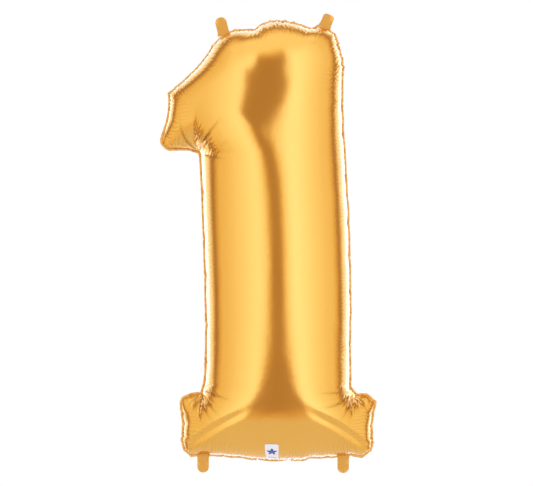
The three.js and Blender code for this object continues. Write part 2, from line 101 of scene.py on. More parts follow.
def pattern_outline():
    """The pattern's edge as a dense closed line, counter-clockwise."""
    n = len(CORNERS)
    arcs = []
    for i, (x, z, r, _) in enumerate(CORNERS):
        at = np.array([x, z], float)
        u = np.array(CORNERS[i - 1][:2], float) - at
        v = np.array(CORNERS[(i + 1) % n][:2], float) - at
        u, v = u / np.linalg.norm(u), v / np.linalg.norm(v)
        half = math.acos(u @ v) / 2
        reach = r / math.tan(half)
        mid = (u + v) / np.linalg.norm(u + v)
        arcs.append((at + mid * r / math.sin(half), at + u * reach, at + v * reach, r))
    line = []
    for i, (centre, start, end, r) in enumerate(arcs):
        a = math.atan2(*(start - centre)[::-1])
        turn = (math.atan2(*(end - centre)[::-1]) - a + math.pi) % (2 * math.pi) - math.pi
        for k in range(25):
            t = a + turn * k / 24
            line.append(centre + r * np.array([math.cos(t), math.sin(t)]))
        bow = CORNERS[i][3]
        along = arcs[(i + 1) % n][1] - end
        out = np.array([along[1], -along[0]]) / np.linalg.norm(along)
        for k in range(1, 40):
            t = k / 40
            line.append(end + along * t + out * 4 * bow * t * (1 - t))
    return np.array(line)


def evenly(line, step):
    """Points spaced evenly round a closed line."""
    loop = np.vstack([line, line[:1]])
    at = np.concatenate([[0], np.cumsum(np.linalg.norm(np.diff(loop, axis=0), axis=1))])
    want = np.arange(round(at[-1] / step)) * at[-1] / round(at[-1] / step)
    return np.stack([np.interp(want, at, loop[:, k]) for k in (0, 1)], axis=1)


def nearest_on(line, points):
    """For each point: its distance from a closed line, and how far along the line that is."""
    a = line
    ab = np.roll(line, -1, axis=0) - a
    length = np.linalg.norm(ab, axis=1)
    start = np.concatenate([[0], np.cumsum(length)[:-1]])
    dist = np.full(len(points), 1e9)
    along = np.zeros(len(points))
    for lo in range(0, len(points), 4096):
        p = points[lo : lo + 4096]
        rel = p[:, None] - a[None]
        t = np.clip((rel * ab[None]).sum(2) / (length**2)[None], 0, 1)
        d = np.linalg.norm(rel - t[..., None] * ab[None], axis=2)
        k = d.argmin(1)
        row = np.arange(len(p))
        dist[lo : lo + 4096] = d[row, k]
        along[lo : lo + 4096] = start[k] + t[row, k] * length[k]
    return dist, along


def edges_of(tris):
    return np.unique(np.sort(np.vstack([tris[:, [0, 1]], tris[:, [1, 2]], tris[:, [2, 0]]]), axis=1), axis=0)


def first_mesh():
    """The pattern's points, rim first, and its triangles, counter-clockwise."""
    rim = evenly(pattern_outline(), COARSE)
    low, high = rim.min(0), rim.max(0)
    rows = np.arange(low[1], high[1], COARSE * math.sqrt(3) / 2)
    inner = []
    for k, z in enumerate(rows):
        inner += [(x, z) for x in np.arange(low[0] + (k % 2) * COARSE / 2, high[0], COARSE)]
    inner = np.array(inner)
    angle = np.zeros(len(inner))
    a, b = rim[None] - inner[:, None], np.roll(rim, -1, axis=0)[None] - inner[:, None]
    angle = np.arctan2(a[..., 0] * b[..., 1] - a[..., 1] * b[..., 0], (a * b).sum(2)).sum(1)
    inner = inner[(angle > math.pi)]
    inner = inner[nearest_on(rim, inner)[0] > 0.6 * COARSE]
    count = len(rim)
    points = [Vector(p) for p in np.vstack([rim, inner])]
    ring = [(i, (i + 1) % count) for i in range(count)]
    made = delaunay_2d_cdt(points, ring, [list(range(count))], 1, 1e-6)
    flat = np.array([tuple(v) for v in made[0]])
    order = np.argsort([o[0] for o in made[3]])
    place = np.empty(len(order), int)
    place[order] = np.arange(len(order))
    tris = place[np.array(made[2])]
    flat = flat[order]
    e, f = flat[tris[:, 1]] - flat[tris[:, 0]], flat[tris[:, 2]] - flat[tris[:, 0]]
    turned = e[:, 0] * f[:, 1] - e[:, 1] * f[:, 0] < 0
    tris[turned] = tris[turned][:, [0, 2, 1]]
    return flat, tris, count


def halved(flat, shape, tris, rim_count):
    """Every triangle cut into four. The rim's points stay first, in order round the rim."""
    edges = edges_of(tris)
    key = {tuple(e): i for i, e in enumerate(edges)}
    ring = [(i, (i + 1) % rim_count) for i in range(rim_count)]
    ring_edge = [key[tuple(sorted(r))] for r in ring]
    rest = np.setdiff1d(np.arange(len(edges)), ring_edge)
    number = np.empty(len(edges), int)
    old = np.empty(len(flat), int)
    old[:rim_count] = 2 * np.arange(rim_count)
    number[ring_edge] = 2 * np.arange(rim_count) + 1
    old[rim_count:] = 2 * rim_count + np.arange(len(flat) - rim_count)
    number[rest] = rim_count + len(flat) + np.arange(len(rest))

    def spread(values):
        out = np.empty((len(flat) + len(edges), values.shape[1]))
        out[old] = values
        out[number] = (values[edges[:, 0]] + values[edges[:, 1]]) / 2
        return out

    corner = lambda i, j: number[[key[(min(a, b), max(a, b))] for a, b in zip(tris[:, i], tris[:, j])]]
    ab, bc, ca = corner(0, 1), corner(1, 2), corner(2, 0)
    a, b, c = old[tris.T]
    cut = np.vstack([np.stack(t, 1) for t in ((a, ab, ca), (ab, b, bc), (ca, bc, c), (ab, bc, ca))])
    return spread(flat), spread(shape), cut, 2 * rim_count


def coloured(edges, count):
    """Edges in groups that share no point, so that a group can be corrected at once."""
    used = [0] * count
    groups = {}
    for i, (a, b) in enumerate(edges.tolist()):
        free = ~(used[a] | used[b])
        bit = free & -free
        used[a] |= bit
        used[b] |= bit
        groups.setdefault(bit, []).append(i)
    return [np.array(g) for g in groups.values()]


def inflate(flat, shape, tris, rim_count, steps, sweeps, press, drop, smooth, crush=0.0):
    """Pressure outwards, no edge longer than it was cut. crush resists gathering, from 0 to 1."""
    edges = edges_of(tris)
    length = np.linalg.norm(flat[edges[:, 0]] - flat[edges[:, 1]], axis=1)
    crush = np.broadcast_to(crush, len(edges))
    groups = [(edges[g, 0], edges[g, 1], length[g], crush[g]) for g in coloured(edges, len(flat))]
    count = len(flat)
    near_a = np.concatenate([edges[:, 0], edges[:, 1]])
    near_b = np.concatenate([edges[:, 1], edges[:, 0]])
    inner = near_a >= rim_count
    ring = np.arange(rim_count)
    near_a = np.concatenate([near_a[inner], ring, ring])
    near_b = np.concatenate([near_b[inner], (ring + 1) % rim_count, (ring - 1) % rim_count])
    degree = np.bincount(near_a, minlength=count)[:, None]
    step_size = length.mean()
    share = press / (step_size * 3 * math.sqrt(3))
    p, last = shape.copy(), shape.copy()
    corners = tris.T.ravel()
    for step in range(steps):
        now = share * drop ** (step / steps)
        p, last = p + (p - last) * 0.9, p
        a, b, c = (last[tris[:, k]] for k in range(3))
        push = np.tile(np.cross(b - a, c - a) * now, (3, 1))
        for k in range(3):
            p[:, k] += np.bincount(corners, push[:, k], count)
        for sweep in range(sweeps):
            for ia, ib, rest, stiff in groups if sweep % 2 else groups[::-1]:
                d = p[ib] - p[ia]
                far = np.sqrt(np.einsum("ij,ij->i", d, d))
                f = 0.5 * (far - rest) / far
                f = np.where(f < 0, f * stiff, f)
                d *= f[:, None]
                p[ia] += d
                p[ib] -= d
            p[:rim_count, 1] = 0
            np.minimum(p[rim_count:, 1], -0.3, out=p[rim_count:, 1])
        mean = np.stack([np.bincount(near_a, p[near_b, k], count) for k in range(3)], 1) / degree
        p += smooth * (mean - p)
        p[:rim_count, 1] = 0
    return p


def normals_of(shape, tris):
    a, b, c = (shape[tris[:, k]] for k in range(3))
    face = np.tile(np.cross(b - a, c - a), (3, 1))
    n = np.stack([np.bincount(tris.T.ravel(), face[:, k], len(shape)) for k in range(3)], 1)
    return n / np.linalg.norm(n, axis=1)[:, None]


def ramp(x, low, high):
    t = np.clip((x - low) / (high - low), 0, 1)
    return t * t * (3 - 2 * t)


def blown():
    """The film blown up tight, evened out at two finer scales and lightly crumpled at the finest."""
    flat, tris, rim_count = first_mesh()
    dist = nearest_on(flat[:rim_count], flat)[0]
    shape = np.stack([flat[:, 0], -0.3 * dist, flat[:, 1]], axis=1)
    shape = inflate(flat, shape, tris, rim_count, 450, 16, 0.135, 0.02, 0.001)
    for steps, press in ((80, 0.0012), (40, 0.0004)):
        flat, shape, tris, rim_count = halved(flat, shape, tris, rim_count)
        shape = inflate(flat, shape, tris, rim_count, steps, 14, press, 0.6, 0.001)
    flat, shape, tris, rim_count = halved(flat, shape, tris, rim_count)
    shape += normals_of(shape, tris) * rng.normal(0, 0.08, (len(shape), 1))
    edges = edges_of(tris)
    from_rim = nearest_on(flat[:rim_count], flat)[0]
    stiff = 0.05 * ramp(from_rim[edges].min(1), -2, 8)
    shape = inflate(flat, shape, tris, rim_count, 26, 8, 0.0003, 1, 0.01, stiff)
    return flat, shape, tris, rim_count


flat, shape, tris, rim_count = blown()
low, high = (np.array(v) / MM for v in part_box("front_panel"))
shape += (low + high) / 2 * (1, 0, 1) - (shape.min(0) + shape.max(0)) / 2 * (1, 0, 1)

# Where each point lies on the cut sheet: distance from the weld, and length along the weld.
rim_line = flat[:rim_count]
from_rim, along_rim = nearest_on(rim_line, flat)
rim_length = np.linalg.norm(np.roll(rim_line, -1, axis=0) - rim_line, axis=1).sum()
spread = along_rim[tris].max(1) - along_rim[tris].min(1)
far_jump = np.minimum(spread, rim_length - spread) > 2.5 * np.linalg.norm(flat[tris[0, 0]] - flat[tris[0, 1]])
calm = np.ones(len(flat))
calm[np.unique(tris[far_jump])] = 0
for _ in range(6):
    calm[tris] = np.minimum(calm[tris], calm[tris].mean(1, keepdims=True) + 0.12)


def waves(x, lengths, seed):
    """A smooth wandering value from -1 to 1 along x, made of a few sines of those lengths."""
    phase = np.random.default_rng(seed).uniform(0, 2 * math.pi, len(lengths))
    return sum(np.sin(2 * math.pi * x / l + p) for l, p in zip(lengths, phase)) / len(lengths)


def pleats(s, d, pitch, seed):
    """Gathers that run in from the weld: rounded ridges with sharp valleys, from 0 to 1."""
    wander = 0.9 * waves(s, (61, 97, 173), seed) * pitch + 0.25 * pitch * waves(d, (23, 41), seed + 1)
    return np.abs(np.sin(math.pi * (s + wander) / pitch))


# Creases that cross the weld: heights up the right side and places along the top, on the sheet.
RIGHT_CREASES = (891, 842, 759, 688, 604, 513, 440, 374, 262)
LEFT_CREASES = (560, 470, 395, 300, 225)
TOP_CREASES = (-96, -60, -19, 18, 47, 84, 118)
BOTTOM_CREASES = (-170, -128, -84, -52, 40, 78, 120, 168)
BASE_END_CREASES = (48, 74, 99)
crease_at = []
for z in RIGHT_CREASES + BASE_END_CREASES:
    crease_at.append(min(rim_line, key=lambda q: abs(q[1] - z) + 1000 * (q[0] < 100)))
for z in LEFT_CREASES + BASE_END_CREASES:
    crease_at.append(min(rim_line, key=lambda q: abs(q[1] - z) + 1000 * (q[0] > -100)))
for x in TOP_CREASES:
    crease_at.append(min(rim_line, key=lambda q: abs(q[0] - x) + 1000 * (q[1] < 800)))
for x in BOTTOM_CREASES:
    crease_at.append(min(rim_line, key=lambda q: abs(q[0] - x) + 1000 * (q[1] > 60)))
crease_s = nearest_on(rim_line, np.array(crease_at))[1]
crease_depth = rng.uniform(0.7, 1.7, len(crease_s))
crease_reach = rng.uniform(22, 58, len(crease_s))
crease_skew = rng.uniform(-0.25, 0.25, len(crease_s))
# dent moves the film in along the creases; the other array marks the same creases for painted shade in the
# material.
dent, fold_shade = np.zeros(len(flat)), np.zeros(len(flat))
for s0, depth, reach, skew in zip(crease_s, crease_depth, crease_reach, crease_skew):
    off = along_rim - s0 - skew * from_rim
    off = (off + rim_length / 2) % rim_length - rim_length / 2
    width = 2.2 + 0.05 * from_rim
    dent += calm * depth * np.exp(-np.abs(off) / width) * (1 - ramp(from_rim, 0.2 * reach, reach))
    # The crease is also marked for painted shade.
    fold_shade += calm * 0.5 * depth * np.exp(-np.abs(off) / 1.8) * (1 - ramp(from_rim, 0.5 * reach, reach))
    dent += calm * 0.9 * np.exp(-np.abs(off) / 10) * ramp(from_rim, 2, 10) * (1 - ramp(from_rim, 20, 42))
# Long sharp creases that fan out from the three inner corners: degrees, start, end, depth.
NOTCH_CREASES = (
    ((-236, 646), ((81, 12, 96, 2.0), (75, 6, 52, 1.3), (30, 4, 150, 2.3), (15, 24, 106, 1.2),
                   (-8, 46, 132, 1.5), (138, 16, 72, 1.6), (104, 14, 60, 0.9), (54, 20, 80, 0.8))),
    ((-STEM_HALF, NOTCH_Z), ((-3, 28, 126, 1.8), (-52, 8, 80, 1.6), (-33, 8, 102, 1.8), (-23, 26, 116, 1.4),
                             (20, 18, 76, 1.0), (-92, 14, 52, 1.3), (-72, 10, 60, 1.0))),
    ((STEM_HALF, NOTCH_Z), ((188, 38, 138, 1.9), (175, 34, 148, 1.3), (211, 12, 106, 1.8), (262, 10, 56, 1.3),
                            (228, 12, 70, 1.2), (160, 20, 84, 0.9), (240, 8, 48, 1.4))),
)
for corner, fan in NOTCH_CREASES:
    rel = flat - corner
    for k, (angle, start, end, depth) in enumerate(fan):
        ahead = np.array([math.cos(math.radians(angle)), math.sin(math.radians(angle))])
        u = rel @ ahead
        v = rel @ (-ahead[1], ahead[0]) + 0.0009 * (k % 3 - 1) * u * (end - u)
        shown = ramp(u, start - 4, start + 12) * (1 - ramp(u, 0.5 * end, end))
        dent += depth * np.exp(-np.abs(v) / (1.9 + 0.02 * np.abs(u))) * shown
        # The crease line is also marked for painted shade.
        fold_shade += 0.6 * depth * np.exp(-np.abs(v) / 1.7) * shown
# Soft valleys from the two lower corners up to the foot of the stem.
VALLEY_FROM, VALLEY_TO, VALLEY_DEPTH = np.array([208.0, 20.0]), np.array([62.0, 142.0]), 2.6
valley = VALLEY_TO - VALLEY_FROM
for side in (-1, 1):
    rel = flat * (side, 1) - VALLEY_FROM
    u = rel @ valley / (valley @ valley)
    v = (rel @ (-valley[1], valley[0])) / np.linalg.norm(valley) + 34 * u * (1 - u)
    dent += VALLEY_DEPTH * np.exp(-((v / 9) ** 2)) * ramp(u, -0.05, 0.25) * (1 - ramp(u, 0.75, 1.1))
fine = pleats(along_rim, from_rim, 13, 3) * ramp(from_rim, 1, 8) * (1 - ramp(from_rim, 16, 40))
broad = pleats(along_rim, from_rim, 27, 5) * ramp(from_rim, 8, 26) * (1 - ramp(from_rim, 34, 70))
strength = 0.5 + 0.4 * waves(along_rim, (143, 241, 389), 8)
lift = calm * strength * (0.4 * fine + 0.4 * broad) - dent
out = normals_of(shape, tris)
rim_next = np.roll(shape[:rim_count], -1, axis=0) - np.roll(shape[:rim_count], 1, axis=0)
rim_out = np.stack([rim_next[:, 2], np.zeros(rim_count), -rim_next[:, 0]], 1)
rim_out /= np.linalg.norm(rim_out, axis=1)[:, None]
out[:rim_count] = rim_out
shape += out * lift[:, None]
np.minimum(shape[rim_count:, 1], -0.25, out=shape[rim_count:, 1])
bottom = shape[:rim_count, 2].min()


def film_piece(name, node, side):
    """One sheet of the envelope. side is 1 for the front and -1 for the rear."""
    mesh = bpy.data.meshes.new(name)
    faces = tris if side > 0 else tris[:, ::-1]
    mesh.from_pydata((shape * (MM, side * MM, MM)).tolist(), [], faces.tolist())
    mesh.polygons.foreach_set("use_smooth", [True] * len(faces))
    corner = faces.ravel()
    s = along_rim[faces]
    s = np.where((s.max(1) - s.min(1) > rim_length / 2)[:, None] & (s < rim_length / 2), s + rim_length, s)
    for layer, u, v in (("sheet", flat[corner, 0], flat[corner, 1]), ("weld", s.ravel(), from_rim[corner])):
        uv = mesh.uv_layers.new(name=layer)
        uv.data.foreach_set("uv", (np.stack([u, v], 1) * MM).ravel())
    # The crease mask goes to the material, which paints shade along it.
    fold_shade_layer = mesh.attributes.new("fold_shade", "FLOAT", "POINT")
    fold_shade_layer.data.foreach_set("value", np.clip(fold_shade, 0, 1).astype(np.float32))
    gather = mesh.attributes.new("gather", "FLOAT", "POINT")
    gather.data.foreach_set("value", (calm * strength * (1 - ramp(from_rim, 40, 105))).astype(np.float32))
    piece = bpy.data.objects.new(name, mesh)
    bpy.context.scene.collection.objects.link(piece)
    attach(piece, "envelope")
    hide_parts(node)
    return piece


def socket(group, name, kind, way, value=None):
    made = group.interface.new_socket(name=name, socket_type=kind, in_out=way)
    if value is not None:
        made.default_value = value
    return made


def node(tree, kind, inputs=None, **settings):
    made = tree.nodes.new("ShaderNode" + kind)
    for key, value in settings.items():
        setattr(made, key, value)
    for key, value in (inputs or {}).items():
        if isinstance(value, bpy.types.NodeSocket):
            tree.links.new(value, made.inputs[key])
        else:
            made.inputs[key].default_value = value
    return made


def sum_of(tree, operation, a, b):
    return node(tree, "Math", {0: a, 1: b}, operation=operation).outputs[0]


def mixed(tree, factor, low, high):
    """A colour between two colours."""
    return node(tree, "Mix", {"Factor": factor, 6: low, 7: high}, data_type="RGBA").outputs[2]


def mapped(tree, value, low, high, at_low=0.0, at_high=1.0):
    """A value carried in a straight line from one range to another, and kept inside it."""
    limits = {"Value": value, "From Min": low, "From Max": high, "To Min": at_low, "To Max": at_high}
    return node(tree, "MapRange", limits).outputs[0]


def grain_group():
    """Satin grain of the metallised film: tiny pits, soft handling dimples and uneven gloss."""
    group = bpy.data.node_groups.new("film_grain", "ShaderNodeTree")
    socket(group, "Grain Scale", "NodeSocketFloat", "INPUT", 900.0)
    socket(group, "Depth", "NodeSocketFloat", "INPUT", 1.0)
    socket(group, "Height", "NodeSocketFloat", "OUTPUT")
    socket(group, "Tone", "NodeSocketFloat", "OUTPUT")
    socket(group, "Gloss", "NodeSocketFloat", "OUTPUT")
    given = group.nodes.new("NodeGroupInput")
    place = node(group, "TexCoord").outputs["Object"]
    pits = node(group, "TexNoise", {"Vector": place, "Scale": given.outputs[0], "Detail": 3.0})
    dimples = node(group, "TexNoise", {"Vector": place, "Scale": 46.0, "Detail": 2.0, "Roughness": 0.4})
    clouds = node(group, "TexNoise", {"Vector": place, "Scale": 7.0, "Detail": 3.0})
    fine_height = sum_of(group, "MULTIPLY", pits.outputs[0], 0.00003)
    soft_height = sum_of(group, "MULTIPLY", dimples.outputs[0], 0.00016)
    height = sum_of(group, "ADD", fine_height, soft_height)
    end = group.nodes.new("NodeGroupOutput")
    group.links.new(sum_of(group, "MULTIPLY", height, given.outputs[1]), end.inputs[0])
    speck = node(group, "MapRange", {"Value": pits.outputs[0], "From Min": 0.35, "From Max": 0.65})
    group.links.new(speck.outputs[0], end.inputs[1])
    group.links.new(clouds.outputs[0], end.inputs[2])
    return group


film_grain = grain_group()


# Deep gold painted into creases and pleat valleys as shade.
GOLD_FOLD_SHADE = (0.40, 0.165, 0.025, 1)
PLEAT_PITCH, PLEAT_HEIGHT = 0.0075, 0.00045  # the finest gathers, in metres
EDGE_TINT = 0.004  # how far in from the weld its own colour reaches, in metres


def gold_film(name, light, deep, weld, roughness, pleated):
    """Satin gold metallised film. pleated adds the finest gathers beside the weld, with painted shade in
    their valleys and along the creases.
    """
    material = bpy.data.materials.new(name)
    material.use_nodes = True
    tree = material.node_tree
    shader = tree.nodes["Principled BSDF"]
    shader.inputs["Metallic"].default_value = 1.0
    grain = tree.nodes.new("ShaderNodeGroup")
    grain.node_tree = film_grain
    colour = mixed(tree, grain.outputs["Tone"], deep, light)
    height = grain.outputs["Height"]
    if pleated:
        uv = node(tree, "UVMap", uv_map="weld").outputs[0]
        parts = node(tree, "SeparateXYZ", {0: uv})
        gather = node(tree, "Attribute", attribute_name="gather").outputs["Fac"]
        shift = node(tree, "TexNoise", {"Vector": uv, "Scale": 30.0, "Detail": 2.0})
        along = sum_of(tree, "ADD", parts.outputs[0], sum_of(tree, "MULTIPLY", shift.outputs[0], 0.02))
        turns = sum_of(tree, "MULTIPLY", along, math.pi / PLEAT_PITCH)
        wave = sum_of(tree, "ABSOLUTE", sum_of(tree, "SINE", turns, 0.0), 0.0)
        ridge = sum_of(tree, "MULTIPLY", sum_of(tree, "MULTIPLY", wave, PLEAT_HEIGHT), gather)
        narrow = sum_of(tree, "POWER", sum_of(tree, "SUBTRACT", 1.0, wave), 3.0)
        valley = sum_of(tree, "MULTIPLY", narrow, gather)
        # Painted shade: the valleys of the finest gathers and the marked crease lines are darkened towards a
        # deep gold, standing in for the light lost between the walls of a crease, which the mesh is too
        # coarse to show.
        painted_fold_shade = node(tree, "Attribute", attribute_name="fold_shade").outputs["Fac"]
        dark = sum_of(tree, "MAXIMUM", sum_of(tree, "MULTIPLY", valley, 0.7), painted_fold_shade)
        colour = mixed(tree, dark, colour, GOLD_FOLD_SHADE)
        height = sum_of(tree, "ADD", height, ridge)
        edge = mapped(tree, parts.outputs[1], 0.0, EDGE_TINT, 1.0, 0.0)
        colour = mixed(tree, edge, colour, weld)
    tree.links.new(colour, shader.inputs["Base Color"])
    rough = mapped(tree, grain.outputs["Gloss"], 0.0, 1.0, roughness - 0.05, roughness + 0.05)
    tree.links.new(rough, shader.inputs["Roughness"])
    bump = node(tree, "Bump", {"Height": height, "Strength": 1.0, "Distance": 1.0})
    tree.links.new(bump.outputs[0], shader.inputs["Normal"])
    return material


GOLD_LIGHT = (0.92, 0.50, 0.112, 1)
GOLD_DEEP = (0.88, 0.455, 0.09, 1)
GOLD_WELD = (0.86, 0.44, 0.09, 1)
envelope_gold = gold_film("envelope_gold", GOLD_LIGHT, GOLD_DEEP, GOLD_WELD, 0.17, True)
weld_gold = gold_film("weld_gold", (0.95, 0.60, 0.20, 1), (0.90, 0.52, 0.15, 1), GOLD_WELD, 0.5, False)

corner_a, corner_b, corner_c = (flat[tris[:, k]] for k in range(3))
cross = (corner_b - corner_a)[:, 0] * (corner_c - corner_a)[:, 1]
cross -= (corner_b - corner_a)[:, 1] * (corner_c - corner_a)[:, 0]
front_film = film_piece("front_film", "front_panel", 1)
rear_film = film_piece("rear_film", "rear_panel", -1)
for film in (front_film, rear_film):
    film.data.materials.append(envelope_gold)

# ---------------------------------------------------------------------------------------
# The weld. Outside the pattern both sheets are heat-sealed into one flat band, 4 mm wide.
# It has to shrink with the rim as the balloon fills, so it ripples and puckers.
# ---------------------------------------------------------------------------------------
WELD_WIDTH = 4.0
WELD_FILM = 0.22  # both sheets together
neck_joint = next(j for j in frame["joints"] if j["name"] == "neck_fold")
NECK_X, NECK_ROOT_HALF = neck_joint["pos_m"][0] / MM, 32.0
neck_side = NECK_ROOT_HALF + 1.0
TAB_WIDTH = 23.0
TABS = [
    # name, length, degrees from upright or from plumb, rounding of the free end
    ("tab_top_left", 33.0, -14.0, 11.0),
    ("tab_top_right", 24.0, 23.0, 7.0),
    ("tab_bottom_left", 31.0, 180.0, 11.0),
    ("tab_bottom_right", 31.0, 180.0, 11.0),
]
tab_joint = {j["name"][: -len("_flex")]: j for j in frame["joints"] if j["name"].endswith("_flex")}
tab_root = {name: np.array(tab_joint[name]["pos_m"]) / MM for name, *_ in TABS}


def thicken(bm, thickness):
    """Gives a sheet its thickness, half of it on each side."""
    bmesh.ops.recalc_face_normals(bm, faces=bm.faces)
    before = sum((v.co for v in bm.verts), Vector()) / len(bm.verts)
    bmesh.ops.solidify(bm, geom=bm.faces[:], thickness=thickness * MM)
    after = sum((v.co for v in bm.verts), Vector()) / len(bm.verts)
    bmesh.ops.translate(bm, verts=bm.verts, vec=before - after)


bm = bmesh.new()
rim = shape[:rim_count]
rim_s = along_rim[:rim_count]
at_neck = (np.abs(rim[:, 0] - NECK_X) < neck_side) & (rim[:, 2] < bottom + 60)
first = int(np.flatnonzero(at_neck & ~np.roll(at_neck, -1))[0]) + 1
order = [(first + k) % rim_count for k in range(rim_count)]
order = [i for i in order if not at_neck[i]]
ripple = waves(rim_s, (9.7, 13.3), 21) + 0.9 * waves(rim_s, (17.9, 29.0, 47.0), 22)
pucker = np.ones(rim_count)
for name, centre in tab_root.items():
    pucker *= ramp(np.linalg.norm(rim - centre, axis=1), 13, 22)
pucker *= ramp(np.abs(rim[:, 0] - NECK_X) + 2 * (rim[:, 2] - bottom), neck_side, neck_side + 12)
smooth_out = rim_out.copy()
for _ in range(8):
    smooth_out = (np.roll(smooth_out, 1, axis=0) + 2 * smooth_out + np.roll(smooth_out, -1, axis=0)) / 4
smooth_out /= np.linalg.norm(smooth_out, axis=1)[:, None]
ROWS = 5
rows = []
for k in range(ROWS + 1):
    t = k / ROWS
    row = rim + smooth_out * (WELD_WIDTH * t + (-0.8 if k == 0 else 0))
    row[:, 1] += 0.8 * ripple * pucker * t**1.3
    row += smooth_out * (0.25 * waves(rim_s, (11.0, 31.0), 25) * t * pucker)[:, None]
    rows.append(row)
last = None
for row in rows:
    verts = [bm.verts.new(Vector(row[i]) * MM) for i in order]
    if last:
        for k in range(len(order) - 1):
            bm.faces.new((last[k], last[k + 1], verts[k + 1], verts[k]))
    last = verts
thicken(bm, WELD_FILM)


def finished(bm, name, material, slot, *replaced, smooth=True):
    """The bmesh as a piece of the object, standing for those CAD nodes."""
    mesh = bpy.data.meshes.new(name)
    bm.to_mesh(mesh)
    bm.free()
    mesh.polygons.foreach_set("use_smooth", [smooth] * len(mesh.polygons))
    mesh.materials.append(material)
    piece = bpy.data.objects.new(name, mesh)
    bpy.context.scene.collection.objects.link(piece)
    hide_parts(*replaced)
    return piece


weld = finished(bm, "weld_band", weld_gold, "gold_weld", "heat_seal_seam")
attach(weld, "envelope")

# ---------------------------------------------------------------------------------------
# The four tabs. Each is a tongue of the same two welded sheets, cut in one with the weld band.
# It is limp, so it bends at its root; its long edges are a little wavy and its end is rounded.
# ---------------------------------------------------------------------------------------
TAB_FILM = 0.5
TAB_INSET = 4.0  # how far the tongue reaches down into the band
tab_gold = gold_film("tab_gold", (0.90, 0.48, 0.11, 1), (0.80, 0.42, 0.085, 1), GOLD_WELD, 0.46, False)


def grid(across, along):
    """A flat grid of quads, with its points at -1 to 1 both ways."""
    bm = bmesh.new()
    bmesh.ops.create_grid(bm, x_segments=across, y_segments=along, size=1)
    return bm


def tab_half(v, length, rounding):
    """Half the tongue's width at a distance v from the root."""
    from_end = length - v
    half = TAB_WIDTH / 2
    if from_end < rounding:
        t = 1 - from_end / rounding
        half -= rounding * (1 - math.sqrt(max(0.0, 1 - t * t)))
    return half + 1.2 * math.exp(-max(v, 0.0) / 1.5)


for number, (name, length, aim, rounding) in enumerate(TABS):
    toward = np.array([math.sin(math.radians(aim)), 0, math.cos(math.radians(aim))])
    across = np.array([toward[2], 0, -toward[0]])
    root = tab_root[name]
    bm = grid(22, 44)
    for v in bm.verts:
        t = (v.co.y + 1) / 2
        along = -TAB_INSET + (length + TAB_INSET) * (1 - (1 - t) ** 1.15)
        u = v.co.x * tab_half(along, length, rounding)
        free = max(0.0, along) / length
        wave = 0.55 * math.sin(along / 3.1 + number * 1.7) * abs(v.co.x) ** 3
        curl = (0.9 * v.co.x**2 + 0.5 * math.sin(number * 2.1) * v.co.x) * free
        lean = 1.2 * free * free * math.cos(number * 1.3)
        v.co = Vector(root + toward * along + across * u) * MM
        v.co.y += (wave * min(1.0, 3 * free) + curl + lean) * MM
    thicken(bm, TAB_FILM)
    tab = finished(bm, name.replace("tab_", "tongue_"), tab_gold, "gold_weld", name)
    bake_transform(tab)

# ---------------------------------------------------------------------------------------
# The neck, through which it was filled: two sheets welded along both sides, folded back
# under the base along its root, flattened, with an open end.
# ---------------------------------------------------------------------------------------
NECK_HALF, NECK_FLARE, NECK_LENGTH = 18.0, 16.0, 62.0
NECK_WELD = 5.0
neck_gold = gold_film("neck_gold", GOLD_LIGHT, GOLD_DEEP, GOLD_WELD, 0.3, False)
NECK_BOW = 3.0
NECK_FOLD = math.radians(4)
neck_z = neck_joint["pos_m"][2] / MM


def neck_half(v):
    t = min(1.0, max(0.0, v / NECK_FLARE))
    return NECK_ROOT_HALF + (NECK_HALF - NECK_ROOT_HALF) * math.sin(t * math.pi / 2)


rim_bottom = [q for q in rim if abs(q[0] - NECK_X) < neck_side + 6 and q[2] < bottom + 60]
rim_bottom.sort(key=lambda q: q[0])
rim_x, rim_z = [q[0] for q in rim_bottom], [q[2] for q in rim_bottom]


def neck_point(u, v, w):
    """A point of the folded neck: u across, v from the root, w out of the sheet, upwards."""
    x = NECK_X + u
    bow = NECK_BOW * (u / NECK_ROOT_HALF) ** 2 * math.exp(-max(v, 0) / 12)
    if v <= 0:
        top = float(np.interp(x, rim_x, rim_z)) + 1.2
        t = (v + 6) / 6
        return Vector((x, -w * (1 - t), top + (neck_z + bow - top + w) * t))
    down, back = math.sin(NECK_FOLD), math.cos(NECK_FOLD)
    return Vector((x, v * back + w * down, neck_z + bow - v * down + w * back))


def neck_strip(name, low_u, high_u, middle_w, film, across, material, slot, node_name):
    bm = grid(across, 40)
    for p in bm.verts:
        t = (p.co.y + 1) / 2
        v = -6 + (NECK_LENGTH + 6) * t
        a = (p.co.x + 1) / 2
        u = low_u(v) + (high_u(v) - low_u(v)) * a
        crinkle = 0.28 * math.sin(0.45 * v + 0.21 * u) * math.sin(0.33 * u) * ramp(v, 2, 14)
        w = middle_w(v, a) + crinkle
        p.co = neck_point(u, v, w) * MM
    thicken(bm, film)
    piece = finished(bm, name, material, slot, node_name)
    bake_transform(piece)
    return piece


def opening(v, a):
    """How far a sheet of the neck stands off its middle plane; the mouth gapes a little."""
    return (0.55 + 1.1 * ramp(v, 30, NECK_LENGTH)) * math.sin(math.pi * a)


inner = lambda v: neck_half(v) - NECK_WELD + 0.4
neck_front = neck_strip(
    "neck_lower_sheet", lambda v: -inner(v), inner, lambda v, a: -0.1 - opening(v, a), 0.12, 26,
    neck_gold, "gold_film", "neck_front_film",
)
neck_rear = neck_strip(
    "neck_upper_sheet", lambda v: -inner(v), inner, lambda v, a: 0.1 + opening(v, a), 0.12, 26,
    neck_gold, "gold_film", "neck_rear_film",
)
neck_left = neck_strip(
    "neck_weld_left", lambda v: -neck_half(v), lambda v: -neck_half(v) + NECK_WELD, lambda v, a: 0.0, 0.24, 5,
    weld_gold, "gold_weld", "neck_seal_left",
)
neck_right = neck_strip(
    "neck_weld_right", lambda v: neck_half(v) - NECK_WELD, neck_half, lambda v, a: 0.0, 0.24, 5,
    weld_gold, "gold_weld", "neck_seal_right",
)

